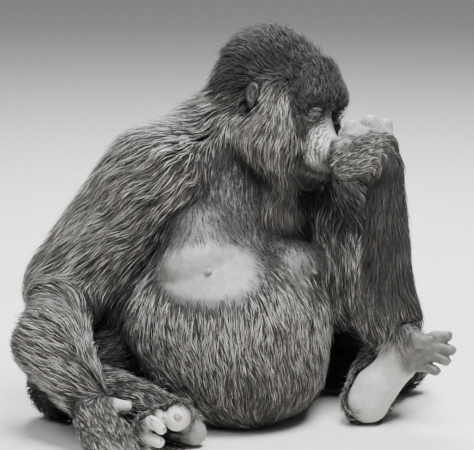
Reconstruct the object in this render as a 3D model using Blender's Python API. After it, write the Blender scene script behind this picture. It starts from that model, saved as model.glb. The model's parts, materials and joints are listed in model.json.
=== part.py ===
"""A mountain gorilla, sitting and leaning its muzzle on its left fist: a life-size still model.

The gorilla faces -Y, its left side is +X and the floor is Z = 0. The solids have the size of
the animal with its coat, out to the tips of the hair. Each sub-part is a group of rounded
volumes, fused, smoothed and thinned out. The sub-parts are made in a fixed order, and each
one is hollowed by the earlier ones with a thin gap, so that they meet and never overlap.
"""

import math

import bmesh
import bpy
from mathutils import Matrix, Vector

# ---------------------------------------------------------------- driving dimensions, in metres
GAP = 0.0008  # gap between neighbouring sub-parts
VOXEL = 0.0050  # grain at which the volumes are fused
FINE_VOXEL = 0.0030  # the same for hands, feet, ears and head
SMOOTH_STEPS = 6
RELAX_STEPS = 1
EYE_RADIUS = 0.0135
FLOOR = 0.004  # height at which the resting places are pressed flat

# Joints of the skeleton.
PELVIS = Vector((-0.035, 0.060, 0.130))
BELLY = Vector((-0.050, -0.080, 0.200))
CHEST = Vector((0.020, 0.030, 0.380))
NECK = Vector((0.045, 0.075, 0.520))
HEAD = Vector((0.098, 0.000, 0.653))
SHOULDER = {"right": Vector((-0.170, 0.040, 0.490)), "left": Vector((0.205, -0.010, 0.430))}
ELBOW = {"right": Vector((-0.350, 0.070, 0.275)), "left": Vector((0.240, -0.250, 0.222))}
WRIST = {"right": Vector((-0.410, -0.208, 0.104)), "left": Vector((0.246, -0.205, 0.525))}
HIP = {"right": Vector((-0.120, 0.050, 0.120)), "left": Vector((0.090, 0.050, 0.120))}
KNEE = {"right": Vector((-0.385, 0.000, 0.082)), "left": Vector((0.330, -0.080, 0.084))}
ANKLE = {"right": Vector((-0.283, -0.225, 0.080)), "left": Vector((0.210, -0.215, 0.082))}

# The head is turned to its left, bowed and leant to its left, in degrees.
HEAD_TURN, HEAD_BOW, HEAD_LEAN = 26.8, 10.9, 9.3

COAT = (0.055, 0.052, 0.050)
SKIN = (0.090, 0.084, 0.082)
EYE_BROWN = (0.050, 0.025, 0.012)


def axes_at(origin, turn=0.0, bow=0.0, lean=0.0):
    """Axes of a part: X to its right, Y to its front and Z up, in the gorilla's own sense."""
    made = Matrix.Translation(origin)
    made = made @ Matrix.Rotation(math.radians(180 + turn), 4, "Z")
    made = made @ Matrix.Rotation(math.radians(-bow), 4, "X")
    return made @ Matrix.Rotation(math.radians(-lean), 4, "Y")


HEAD_AXES = axes_at(HEAD, HEAD_TURN, HEAD_BOW, HEAD_LEAN)


# ---------------------------------------------------------------- volumes
class Volumes:
    """Rounded closed shapes, gathered in one mesh."""

    def __init__(self):
        self.mesh = bmesh.new()

    def ellipsoid(self, centre, radii, axes=None):
        """An ellipsoid with its centre and half widths given in the axes of a part."""
        place = (axes or Matrix.Identity(4)) @ Matrix.Translation(Vector(centre))
        scale = Matrix.Diagonal((*radii, 1.0))
        bmesh.ops.create_icosphere(self.mesh, subdivisions=4, radius=1.0, matrix=place @ scale)

    def ball(self, centre, radius, axes=None):
        self.ellipsoid(centre, (radius, radius, radius), axes)

    def limb(self, points, radii, axes=None, blunt=False):
        """A round bar through the points, with its own radius at each; blunt starts it flat."""
        place = axes or Matrix.Identity(4)
        points = [place @ Vector(p) for p in points]
        for point, radius in list(zip(points, radii))[blunt:]:
            self.ball(point, radius)
        for i in range(len(points) - 1):
            run = points[i + 1] - points[i]
            turn = run.to_track_quat("Z", "Y").to_matrix().to_4x4()
            middle = Matrix.Translation((points[i] + points[i + 1]) / 2)
            bmesh.ops.create_cone(
                self.mesh,
                cap_ends=True,
                segments=32,
                radius1=radii[i],
                radius2=radii[i + 1],
                depth=run.length,
                matrix=middle @ turn,
            )

    def both_sides(self, centre, radii, axes):
        """The same ellipsoid on both sides of the part's middle plane."""
        for side in (-1, 1):
            self.ellipsoid((side * centre[0], *centre[1:]), radii, axes)

    def to_object(self, name):
        mesh = bpy.data.meshes.new(name)
        self.mesh.to_mesh(mesh)
        self.mesh.free()
        made = bpy.data.objects.new(name, mesh)
        bpy.context.scene.collection.objects.link(made)
        return made


# ---------------------------------------------------------------- the sub-parts' own volumes
def eye(v, side):
    x = 0.0375 if side == "right" else -0.0375
    v.ball((x, 0.1120, 0.0), EYE_RADIUS, HEAD_AXES)


def ear(v, side):
    x = 0.096 if side == "right" else -0.096
    v.ellipsoid((x, -0.005, 0.004), (0.010, 0.017, 0.024), HEAD_AXES)
    v.ellipsoid((x, 0.000, -0.018), (0.009, 0.010, 0.012), HEAD_AXES)


def head(v, _side):
    a = HEAD_AXES
    v.ellipsoid((0, -0.005, 0.035), (0.103, 0.125, 0.105), a)  # braincase and its hair
    v.ellipsoid((0, -0.050, 0.052), (0.080, 0.085, 0.088), a)  # crest
    v.ellipsoid((0, -0.075, 0.000), (0.095, 0.080, 0.095), a)  # nape
    v.limb([(-0.066, 0.101, 0.034), (0, 0.120, 0.038), (0.060, 0.100, 0.032)], [0.025, 0.024, 0.024], a)
    v.ellipsoid((0, 0.120, -0.078), (0.055, 0.066, 0.055), a)  # muzzle
    v.both_sides((0.024, 0.164, -0.062), (0.022, 0.020, 0.020), a)  # nostrils
    v.limb([(0, 0.122, 0.0), (0, 0.166, -0.046)], [0.014, 0.016], a)  # bridge of the nose
    v.ellipsoid((0, 0.122, -0.126), (0.048, 0.050, 0.035), a)  # lower lip and chin
    v.both_sides((0.070, 0.055, -0.050), (0.055, 0.065, 0.105), a)  # cheeks
    v.ellipsoid((0, 0.030, -0.130), (0.095, 0.085, 0.090), a)  # throat
    v.limb([(0.060, 0.070, -0.090), (0.035, 0.090, -0.210)], [0.060, 0.040], a)  # hanging cheek hair


def neck(v, _side):
    v.limb([NECK, HEAD + Vector((-0.020, 0.052, -0.045))], [0.128, 0.108], blunt=True)


def trunk(v, _side):
    v.ellipsoid(PELVIS, (0.190, 0.165, 0.133))
    v.ellipsoid(BELLY, (0.225, 0.215, 0.190))
    v.ellipsoid((-0.045, -0.120, 0.112), (0.190, 0.190, 0.114))
    v.ellipsoid((-0.020, 0.010, 0.290), (0.210, 0.170, 0.180))
    v.ellipsoid(CHEST, (0.180, 0.150, 0.170))
    v.limb([(-0.130, 0.050, 0.485), (0.020, 0.095, 0.490), (0.170, 0.010, 0.440)], [0.110, 0.130, 0.090])
    v.limb([(-0.150, 0.060, 0.510), (-0.010, 0.090, 0.560)], [0.100, 0.112])
    v.limb([(0.060, 0.075, 0.570), (0.185, 0.010, 0.455)], [0.108, 0.088])
    v.ellipsoid((-0.030, 0.130, 0.270), (0.180, 0.120, 0.230))
    v.ellipsoid((-0.165, 0.060, 0.240), (0.105, 0.110, 0.110))  # flanks
    v.ellipsoid((0.100, 0.040, 0.240), (0.110, 0.110, 0.110))
    v.ellipsoid((-0.235, 0.075, 0.205), (0.062, 0.060, 0.062))  # hair between arm and thigh
    v.ellipsoid((0.155, -0.095, 0.280), (0.055, 0.062, 0.062))
    v.ellipsoid((-0.116, -0.110, 0.345), (0.094, 0.060, 0.074))  # breasts
    v.ellipsoid((0.072, -0.120, 0.332), (0.066, 0.060, 0.070))


def upper_arm(v, side):
    radii = [0.122, 0.100] if side == "right" else [0.094, 0.078]
    v.limb([SHOULDER[side], ELBOW[side]], radii)


def forearm(v, side):
    if side == "right":
        v.limb([ELBOW[side], (-0.440, -0.080, 0.195), WRIST[side]], [0.085, 0.092, 0.060])
    else:
        v.limb([ELBOW[side], WRIST[side]], [0.068, 0.050])


def thigh(v, side):
    v.limb([HIP[side], KNEE[side]], [0.112, 0.085])


def shin(v, side):
    v.limb([KNEE[side], ANKLE[side]], [0.078, 0.048])


def raised_hand(v):
    """The left fist, with its back to the front and its knuckles on the muzzle."""
    wrist = WRIST["left"]
    knuckles = (
        ((0.171, -0.204, 0.577), 0.021),
        ((0.153, -0.210, 0.555), 0.021),
        ((0.140, -0.217, 0.531), 0.020),
    )
    for knuckle, radius in knuckles:
        v.limb([wrist, knuckle], [0.038, radius])
    v.limb([wrist, (0.218, -0.190, 0.584), (0.180, -0.181, 0.612)], [0.036, 0.024, 0.0175])
    v.limb([wrist, (0.250, -0.170, 0.586), (0.228, -0.167, 0.617)], [0.034, 0.021, 0.0175])
    v.limb([wrist, (0.266, -0.178, 0.575), (0.266, -0.163, 0.609)], [0.032, 0.017, 0.013])


def resting_hand(v):
    """The right hand, with its fingers on the floor."""
    wrist = WRIST["right"]
    knuckles = ((-0.368, -0.284, 0.058), (-0.390, -0.300, 0.054), (-0.411, -0.308, 0.050), (-0.430, -0.306, 0.045))
    for knuckle in knuckles:
        knuckle = Vector(knuckle)
        tip = knuckle + Vector((0.006, -0.048, -0.034))
        v.limb([wrist, knuckle, tip], [0.042, 0.022, 0.016])
    v.limb([wrist, (-0.369, -0.253, 0.103), (-0.342, -0.259, 0.099)], [0.034, 0.016, 0.012])


def left_foot(v):
    """The left foot, on its heel, with its sole to the front and its great toe on top."""
    v.limb([(0.186, -0.262, 0.052), (0.199, -0.267, 0.080)], [0.049, 0.046])
    v.limb([(0.199, -0.267, 0.085), (0.230, -0.282, 0.138), (0.246, -0.312, 0.183)], [0.040, 0.030, 0.027])
    v.limb([(0.212, -0.270, 0.080), (0.247, -0.294, 0.129), (0.262, -0.308, 0.160)], [0.040, 0.031, 0.025])
    v.ellipsoid((0.248, -0.323, 0.204), (0.025, 0.023, 0.022))
    v.limb([(0.242, -0.330, 0.193), (0.253, -0.350, 0.198), (0.267, -0.361, 0.195)], [0.019, 0.018, 0.0155])
    v.ball((0.229, -0.310, 0.168), 0.013)
    toes = (
        ((0.272, -0.306, 0.174), (0.308, -0.326, 0.191), (0.325, -0.342, 0.196), 0.0150),
        ((0.270, -0.308, 0.160), (0.312, -0.331, 0.174), (0.330, -0.351, 0.168), 0.0145),
        ((0.263, -0.303, 0.145), (0.305, -0.328, 0.154), (0.321, -0.347, 0.146), 0.0140),
        ((0.252, -0.296, 0.130), (0.288, -0.316, 0.131), (0.304, -0.335, 0.123), 0.0135),
    )
    for root, bend, tip, radius in toes:
        v.limb([root, bend, tip], [radius * 1.15, radius, radius * 0.85])


def right_foot(v):
    """The right foot, pointing forward, with its great toe bent and the others curled."""
    v.ellipsoid((-0.262, -0.222, 0.056), (0.053, 0.060, 0.048))
    v.limb([(-0.255, -0.215, 0.050), (-0.207, -0.280, 0.034)], [0.040, 0.030])
    v.limb([(-0.235, -0.270, 0.060), (-0.249, -0.304, 0.080), (-0.262, -0.322, 0.078)], [0.029, 0.0245, 0.022])
    toes = (
        ((-0.262, -0.272, 0.072), (-0.288, -0.292, 0.084), (-0.286, -0.312, 0.080), 0.0120),
        ((-0.292, -0.266, 0.056), (-0.321, -0.300, 0.068), (-0.315, -0.322, 0.080), 0.0135),
        ((-0.315, -0.322, 0.080), (-0.308, -0.333, 0.079), (-0.301, -0.343, 0.070), 0.0130),
        ((-0.295, -0.258, 0.044), (-0.328, -0.298, 0.048), (-0.305, -0.340, 0.043), 0.0140),
        ((-0.300, -0.252, 0.030), (-0.336, -0.296, 0.021), (-0.319, -0.334, 0.016), 0.0140),
    )
    for root, bend, tip, radius in toes:
        v.limb([root, bend, tip], [radius * 1.1, radius, radius * 0.9])


def hand(v, side):
    raised_hand(v) if side == "left" else resting_hand(v)


def foot(v, side):
    left_foot(v) if side == "left" else right_foot(v)


# Each sub-part hollows the ones after it: name, sides, maker, grain, triangles, colour.
BOTH = ("left", "right")
MIDDLE = ("",)
PLAN = (
    ("eye", BOTH, eye, 0.0015, 100, EYE_BROWN),
    ("ear", BOTH, ear, 0.0020, 120, SKIN),
    ("head", MIDDLE, head, FINE_VOXEL, 1220, COAT),
    ("neck", MIDDLE, neck, VOXEL, 180, COAT),
    ("trunk", MIDDLE, trunk, VOXEL, 860, COAT),
    ("thigh", BOTH, thigh, VOXEL, 250, COAT),
    ("shin", BOTH, shin, VOXEL, 200, COAT),
    ("foot", BOTH, foot, FINE_VOXEL, 470, SKIN),
    ("upper_arm", BOTH, upper_arm, VOXEL, 240, COAT),
    ("forearm", BOTH, forearm, VOXEL, 220, COAT),
    ("hand", BOTH, hand, FINE_VOXEL, 480, SKIN),
)


# ---------------------------------------------------------------- making the solids
def clear_scene():
    for old in list(bpy.data.objects):
        bpy.data.objects.remove(old, do_unlink=True)


def bake(obj):
    """Replace an object's mesh with what its modifiers make of it."""
    bpy.context.view_layer.update()
    seen = obj.evaluated_get(bpy.context.evaluated_depsgraph_get())
    obj.data = bpy.data.meshes.new_from_object(seen)
    obj.modifiers.clear()


def soften(obj, steps):
    smooth = obj.modifiers.new("soften", "SMOOTH")
    smooth.factor = 0.5
    smooth.iterations = steps


def fuse(obj, grain, triangles):
    remesh = obj.modifiers.new("fuse", "REMESH")
    remesh.mode = "VOXEL"
    remesh.voxel_size = grain
    soften(obj, SMOOTH_STEPS)
    bake(obj)
    faces = sum(len(p.vertices) - 2 for p in obj.data.polygons)
    thin = obj.modifiers.new("thin", "DECIMATE")
    thin.ratio = min(1.0, triangles / faces)
    soften(obj, RELAX_STEPS)
    obj.modifiers.new("flat faces", "TRIANGULATE")
    bake(obj)


def reach(obj):
    """Lowest and highest corners of an object's mesh."""
    spots = [v.co for v in obj.data.vertices]
    low = Vector([min(s[i] for s in spots) for i in range(3)])
    high = Vector([max(s[i] for s in spots) for i in range(3)])
    return low, high


def near(one, other):
    low_a, high_a = reach(one)
    low_b, high_b = reach(other)
    return all(low_a[i] < high_b[i] + GAP and low_b[i] < high_a[i] + GAP for i in range(3))


def swollen(obj):
    """A cutter, one gap larger than the object."""
    cutter = bpy.data.objects.new(obj.name + "_cutter", obj.data.copy())
    bpy.context.scene.collection.objects.link(cutter)
    swell = cutter.modifiers.new("swell", "DISPLACE")
    swell.strength = GAP
    swell.mid_level = 0.0
    bake(cutter)
    return cutter


def hollow(obj, cutters):
    for cutter in cutters:
        cut = obj.modifiers.new("hollow", "BOOLEAN")
        cut.operation = "DIFFERENCE"
        cut.object = cutter
        bake(obj)


def keep_largest_piece(obj):
    """Drop the chips that a cut leaves."""
    mesh = bmesh.new()
    mesh.from_mesh(obj.data)
    unseen = set(mesh.verts)
    pieces = []
    while unseen:
        todo = [unseen.pop()]
        piece = set(todo)
        while todo:
            for edge in todo.pop().link_edges:
                for vert in edge.verts:
                    if vert in unseen:
                        unseen.remove(vert)
                        piece.add(vert)
                        todo.append(vert)
        pieces.append(piece)
    pieces.sort(key=len)
    for piece in pieces[:-1]:
        bmesh.ops.delete(mesh, geom=list(piece), context="VERTS")
    mesh.to_mesh(obj.data)
    mesh.free()


def material(name, colour, roughness):
    made = bpy.data.materials.new(name)
    made.use_nodes = True
    shader = made.node_tree.nodes["Principled BSDF"]
    shader.inputs["Base Color"].default_value = (*colour, 1.0)
    shader.inputs["Roughness"].default_value = roughness
    return made


def floor_block():
    """A block whose top is the floor that presses the resting places flat."""
    mesh = bmesh.new()
    size = Matrix.Diagonal((3.0, 3.0, 0.2, 1.0))
    place = Matrix.Translation((0.0, 0.0, FLOOR - 0.1))
    bmesh.ops.create_cube(mesh, size=1.0, matrix=place @ size)
    data = bpy.data.meshes.new("floor_cutter")
    mesh.to_mesh(data)
    mesh.free()
    block = bpy.data.objects.new("floor_cutter", data)
    bpy.context.scene.collection.objects.link(block)
    return block


def centre_on_floor(solids):
    """Move the whole figure so that its box stands on the origin."""
    corners = [reach(obj) for obj in solids]
    low = [min(c[0][i] for c in corners) for i in range(3)]
    high = [max(c[1][i] for c in corners) for i in range(3)]
    shift = Vector((-(low[0] + high[0]) / 2, -(low[1] + high[1]) / 2, -low[2]))
    for obj in solids:
        obj.data.transform(Matrix.Translation(shift))


def main():
    clear_scene()
    made = []
    cutters = [floor_block()]
    for name, sides, maker, grain, triangles, colour in PLAN:
        for side in sides:
            volumes = Volumes()
            maker(volumes, side)
            obj = volumes.to_object(f"{name}_{side}" if side else name)
            fuse(obj, grain, triangles)
            whole = swollen(obj)
            hollow(obj, [c for c in cutters if near(obj, c)])
            keep_largest_piece(obj)
            obj.data.materials.clear()
            obj.data.materials.append(material(obj.name, colour, 0.8))
            obj.data.shade_smooth()
            cutters.append(whole)
            made.append(obj)
    for cutter in cutters:
        bpy.data.objects.remove(cutter, do_unlink=True)
    centre_on_floor(made)


main()
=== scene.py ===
"""Looks of the sitting mountain gorilla: its skin, eyes, nails and coat.

One skin is grown over the skeleton, inside the solids by the depth of the coat. Tufts are laid
over it along the lie of the coat. The gorilla faces -Y and its left side is +X. Shapes are
worked out in the skeleton's own place and moved to the frame when a piece is made.
"""

import logging
import math
from collections.abc import Callable
from dataclasses import dataclass, field
from enum import Enum

import bpy
import numpy as np
from mathutils import Matrix, Vector, kdtree
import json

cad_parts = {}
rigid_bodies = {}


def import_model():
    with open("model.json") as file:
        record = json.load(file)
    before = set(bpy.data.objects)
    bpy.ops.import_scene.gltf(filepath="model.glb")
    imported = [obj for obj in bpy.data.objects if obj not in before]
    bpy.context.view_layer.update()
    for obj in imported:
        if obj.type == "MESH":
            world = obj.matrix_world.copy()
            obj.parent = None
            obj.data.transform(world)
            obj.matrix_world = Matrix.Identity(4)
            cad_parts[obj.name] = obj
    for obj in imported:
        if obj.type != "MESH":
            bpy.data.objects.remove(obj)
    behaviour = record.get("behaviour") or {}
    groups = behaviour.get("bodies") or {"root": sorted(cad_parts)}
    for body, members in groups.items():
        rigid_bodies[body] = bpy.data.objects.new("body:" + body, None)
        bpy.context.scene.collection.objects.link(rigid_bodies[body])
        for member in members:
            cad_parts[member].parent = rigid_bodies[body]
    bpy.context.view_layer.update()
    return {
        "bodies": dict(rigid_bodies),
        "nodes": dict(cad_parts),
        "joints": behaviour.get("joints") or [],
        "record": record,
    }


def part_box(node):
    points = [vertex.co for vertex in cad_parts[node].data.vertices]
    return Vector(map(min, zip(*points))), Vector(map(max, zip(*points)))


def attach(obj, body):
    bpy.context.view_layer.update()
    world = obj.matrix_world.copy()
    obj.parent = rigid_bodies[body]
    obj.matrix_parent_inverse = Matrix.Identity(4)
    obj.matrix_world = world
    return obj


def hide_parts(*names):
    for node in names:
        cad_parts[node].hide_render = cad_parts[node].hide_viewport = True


LOG = logging.getLogger("gorilla")
SEED = 7

# Keeps divisions from zero; reach of the fine lattice in coarse cells; step of the coat's slopes.
SMALL = 1e-9
NEAR_CELLS = 2.2
COAT_STEP = 0.003

# Heights over the floor of the body, hands and feet, roots of the coat and tips of the coat.
BODY_LIFT = 0.002
FOOT_LIFT = 0.0005
ROOT_LIFT = 0.006
TIP_LIFT = 0.0015


class Side(Enum):
    """A side of the body, in the gorilla's own sense."""

    RIGHT = "right"
    LEFT = "left"


# ---------------------------------------------------------------- axes and skeleton
@dataclass(frozen=True)
class Axes:
    """Right-handed axes of a part: X to its right, Y to its front and Z up.

    Args:
        origin: where the axes start.
        basis: the three directions as rows.
    """

    origin: np.ndarray
    basis: np.ndarray

    @classmethod
    def turned(cls, origin: tuple, turn: float, bow: float, lean: float) -> "Axes":
        """Axes turned, bowed and leant from facing the front.

        Args:
            origin: where the axes start.
            turn: turn to the left, in degrees.
            bow: bow to the front, in degrees.
            lean: lean to the left, in degrees.

        Returns:
            The axes.
        """
        made = Matrix.Rotation(math.radians(180 + turn), 3, "Z")
        made = made @ Matrix.Rotation(math.radians(-bow), 3, "X")
        made = made @ Matrix.Rotation(math.radians(-lean), 3, "Y")
        return cls(np.array(origin), np.array(made.transposed()))

    @classmethod
    def along(cls, origin: tuple, forward: tuple, up: tuple) -> "Axes":
        """Axes whose Y runs along a direction.

        Args:
            origin: where the axes start.
            forward: direction of Y.
            up: direction that Z is near to.

        Returns:
            The axes.
        """
        y = Vector(forward).normalized()
        x = y.cross(Vector(up)).normalized()
        return cls(np.array(origin), np.array((x, y, x.cross(y))))

    def inward(self, points: np.ndarray) -> np.ndarray:
        """Points of the body, told in these axes."""
        return (points - self.origin) @ self.basis.T

    def outward(self, points: np.ndarray) -> np.ndarray:
        """Points told in these axes, as points of the body."""
        return np.asarray(points, float) @ self.basis + self.origin

    def swing(self, direction: tuple) -> np.ndarray:
        """A direction told in these axes, as one of the body."""
        return np.asarray(direction, float) @ self.basis


BODY = Axes(np.zeros(3), np.identity(3))
HEAD = Axes.turned((0.098, 0.000, 0.653), 26.8, 10.9, 9.3)

PELVIS = (-0.035, 0.06, 0.13)
NECK = (0.045, 0.075, 0.52)
NECK_TOP = (0.078, 0.052, 0.608)
SHOULDER = {Side.RIGHT: (-0.17, 0.04, 0.49), Side.LEFT: (0.205, -0.01, 0.43)}
ELBOW = {Side.RIGHT: (-0.35, 0.07, 0.275), Side.LEFT: (0.24, -0.25, 0.222)}
FOREARM_BEND = (-0.44, -0.08, 0.195)
WRIST = {Side.RIGHT: (-0.41, -0.208, 0.104), Side.LEFT: (0.246, -0.205, 0.525)}
HIP = {Side.RIGHT: (-0.12, 0.05, 0.12), Side.LEFT: (0.09, 0.05, 0.12)}
UPPER_ARM = {Side.RIGHT: (0.094, 0.072), Side.LEFT: (0.07, 0.055)}
KNEE = {Side.RIGHT: (-0.385, 0.000, 0.082), Side.LEFT: (0.33, -0.08, 0.084)}
ANKLE = {Side.RIGHT: (-0.283, -0.225, 0.08), Side.LEFT: (0.21, -0.215, 0.082)}

# The finished face comes further forward than the solid head, and so do the eyes.
EYE_X, EYE_Y, EYE_Z = 0.0375, 0.112, 0.0
EYE_OUT = 0.01
EYE_RADIUS = 0.0128


# ---------------------------------------------------------------- shapes
@dataclass(frozen=True)
class Lobe:
    """An ellipsoid of flesh.

    Args:
        centre: its middle, in the axes.
        radii: its half widths along the axes.
        axes: the axes of its part.
        blend: width of the fillet to what was there before.
        carve: whether it is taken away.
    """

    centre: tuple
    radii: tuple
    axes: Axes = BODY
    blend: float = 0.02
    carve: bool = False

    def distance(self, points: np.ndarray) -> np.ndarray:
        """Distance of points from its surface, below zero inside."""
        away = self.axes.inward(points) - self.centre
        near = np.linalg.norm(away / self.radii, axis=1)
        steep = np.linalg.norm(away / np.square(self.radii), axis=1)
        return near * (near - 1.0) / np.maximum(steep, 1e-6)


@dataclass(frozen=True)
class Bar:
    """A round bar of flesh between two points.

    Args:
        start: its first point, in the axes.
        end: its last point, in the axes.
        first: its radius at the start.
        last: its radius at the end.
        axes: the axes of its part.
        blend: width of the fillet to what was there before.
        carve: whether it is taken away.
    """

    start: tuple
    end: tuple
    first: float
    last: float
    axes: Axes = BODY
    blend: float = 0.02
    carve: bool = False

    def distance(self, points: np.ndarray) -> np.ndarray:
        """Distance of points from its surface, below zero inside."""
        start = self.axes.outward(self.start)
        run = self.axes.outward(self.end) - start
        away = points - start
        part = np.clip(away @ run / run.dot(run), 0.0, 1.0)
        radius = self.first + (self.last - self.first) * part
        return np.linalg.norm(away - part[:, None] * run, axis=1) - radius


@dataclass
class Form:
    """Shapes merged one after the other with fillets.

    Args:
        axes: axes of the shapes that are added.
        blend: fillet of the shapes that are added.
        floor: height under which nothing is kept, or None.
        shapes: the shapes so far.
    """

    axes: Axes = BODY
    blend: float = 0.02
    floor: float | None = None
    shapes: list = field(default_factory=list)

    def lobe(self, centre: tuple, radii: tuple, blend: float | None = None, carve: bool = False) -> None:
        """Add or carve an ellipsoid."""
        self.shapes.append(Lobe(centre, radii, self.axes, blend or self.blend, carve))

    def pair(self, centre: tuple, radii: tuple, blend: float | None = None, carve: bool = False) -> None:
        """Add or carve the same ellipsoid on both sides of the middle plane."""
        for side in (-1, 1):
            self.lobe((side * centre[0], *centre[1:]), radii, blend, carve)

    def limb(self, points: list, radii: list, blend: float | None = None) -> None:
        """Add a round bar through points, with a radius at each."""
        for i in range(len(points) - 1):
            ends = tuple(points[i]), tuple(points[i + 1])
            self.shapes.append(Bar(*ends, radii[i], radii[i + 1], self.axes, blend or self.blend))

    def distance(self, points: np.ndarray) -> np.ndarray:
        """Distance of points from the merged surface, below zero inside."""
        total = np.full(len(points), 1.0)
        for shape in self.shapes:
            sign = -1.0 if shape.carve else 1.0
            other = shape.distance(points)
            mine = sign * total
            near = np.maximum(shape.blend - np.abs(mine - other), 0.0)
            total = sign * (np.minimum(mine, other) - near * near / (4.0 * shape.blend))
        if self.floor is not None:
            total = np.maximum(total, self.floor - points[:, 2])
        return total


def slope(distance: Callable, points: np.ndarray, step: float = 0.0006) -> np.ndarray:
    """Outward directions of a distance field.

    Args:
        distance: function from points to distances.
        points: where the directions are wanted.
        step: half the length over which the field is compared.

    Returns:
        Unit directions, one for each point.
    """
    total = np.zeros_like(points)
    for corner in ((1, 1, 1), (1, -1, -1), (-1, 1, -1), (-1, -1, 1)):
        way = np.array(corner, float)
        total += way * distance(points + way * step)[:, None]
    return total / np.maximum(np.linalg.norm(total, axis=1, keepdims=True), SMALL)


def unit(vectors: np.ndarray) -> np.ndarray:
    """The vectors at length one."""
    return vectors / np.maximum(np.linalg.norm(vectors, axis=-1, keepdims=True), SMALL)


def ramp(values: np.ndarray, low: float, high: float) -> np.ndarray:
    """Smooth rise from 0 at low to 1 at high."""
    part = np.clip((values - low) / (high - low), 0.0, 1.0)
    return part * part * (3.0 - 2.0 * part)


# ---------------------------------------------------------------- meshes from shapes
@dataclass
class Shell:
    """A closed mesh of quads round a form.

    Args:
        form: the form.
        low: lowest corner of the box that holds it.
        high: highest corner.
        grain: size of the quads.
        block: quads along one cell of the coarse lattice.
    """

    form: Form
    low: tuple
    high: tuple
    grain: float
    block: int = 4

    def lattice(self) -> tuple:
        """Distances on a lattice, worked out only near the surface.

        Returns:
            The lattice's corner, and its values.
        """
        low = np.array(self.low)
        count = np.ceil((np.array(self.high) - low) / (self.grain * self.block)).astype(int) + 1
        wide = self.grain * self.block
        steps = [low[i] + wide * np.arange(count[i]) for i in range(3)]
        spots = np.stack(np.meshgrid(*steps, indexing="ij"), axis=-1)
        coarse = self.form.distance(spots.reshape(-1, 3)).reshape(count)
        near = np.abs(coarse) < wide * NEAR_CELLS
        values = coarse
        for axis in range(3):
            near = np.repeat(near, self.block, axis=axis)
            values = np.repeat(values, self.block, axis=axis)
        start = low - self.grain * (self.block // 2)
        index = np.argwhere(near)
        values[near] = self.form.distance(start + index * self.grain)
        return start, values

    def build(self) -> tuple:
        """Quads round the surface.

        Returns:
            The points, and the quads as point numbers.
        """
        start, values = self.lattice()
        inside = values < 0.0
        size = tuple(n - 1 for n in values.shape)
        corners = [(i, j, k) for i in (0, 1) for j in (0, 1) for k in (0, 1)]
        total = np.zeros(size, np.int8)
        for i, j, k in corners:
            total += inside[i : i + size[0], j : j + size[1], k : k + size[2]]
        cells = np.argwhere((total > 0) & (total < 8))
        number = np.full(size, -1, np.int32)
        number[tuple(cells.T)] = np.arange(len(cells))
        at = {c: values[tuple((cells + c).T)] for c in corners}
        spot = np.zeros((len(cells), 3))
        hits = np.zeros(len(cells))
        for a in corners:
            for axis in range(3):
                if a[axis]:
                    continue
                b = tuple(1 if n == axis else a[n] for n in range(3))
                cross = (at[a] < 0.0) != (at[b] < 0.0)
                part = at[a] / np.where(cross, at[a] - at[b], 1.0)
                place = np.array(a, float) + part[:, None] * (np.array(b) - np.array(a))
                spot += np.where(cross[:, None], place, 0.0)
                hits += cross
        points = start + (cells + spot / hits[:, None]) * self.grain
        quads = []
        for axis in range(3):
            u, v = (axis + 1) % 3, (axis + 2) % 3
            ahead = np.moveaxis(inside, axis, 0)
            crossing = np.argwhere(np.moveaxis(ahead[1:] != ahead[:-1], 0, axis))
            keep = (crossing[:, u] > 0) & (crossing[:, v] > 0)
            keep &= (crossing[:, u] < size[u]) & (crossing[:, v] < size[v])
            crossing = crossing[keep]
            ring = []
            for du, dv in ((-1, -1), (0, -1), (0, 0), (-1, 0)):
                cell = crossing.copy()
                cell[:, u] += du
                cell[:, v] += dv
                ring.append(number[tuple(cell.T)])
            ring = np.stack(ring, axis=1)
            solid = inside[tuple(crossing.T)]
            quads.append(np.where(solid[:, None], ring, ring[:, ::-1]))
        for _ in range(2):
            points = points - slope(self.form.distance, points) * self.form.distance(points)[:, None]
        return points, np.concatenate(quads)


def add_object(name: str, points: np.ndarray, faces: np.ndarray) -> bpy.types.Object:
    """An object from arrays.

    Args:
        name: name of the object.
        points: its points.
        faces: its faces as point numbers, all with the same number of corners.

    Returns:
        The object, linked to the scene.
    """
    mesh = bpy.data.meshes.new(name)
    corners = faces.shape[1]
    mesh.vertices.add(len(points))
    mesh.vertices.foreach_set("co", np.ascontiguousarray(points, np.float32).ravel())
    mesh.loops.add(faces.size)
    mesh.loops.foreach_set("vertex_index", np.ascontiguousarray(faces, np.int32).ravel())
    mesh.polygons.add(len(faces))
    mesh.polygons.foreach_set("loop_start", np.arange(0, faces.size, corners, dtype=np.int32))
    mesh.update(calc_edges=True)
    mesh.shade_smooth()
    made = bpy.data.objects.new(name, mesh)
    bpy.context.scene.collection.objects.link(made)
    return made


def add_values(mesh: bpy.types.Mesh, name: str, values: np.ndarray) -> None:
    """Store one number for each point of a mesh."""
    layer = mesh.attributes.new(name, "FLOAT", "POINT")
    layer.data.foreach_set("value", np.ascontiguousarray(values, np.float32))


def points_of(mesh: bpy.types.Mesh) -> np.ndarray:
    """The points of a mesh as an array."""
    points = np.empty(len(mesh.vertices) * 3, np.float32)
    mesh.vertices.foreach_get("co", points)
    return points.reshape(-1, 3).astype(float)


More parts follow.
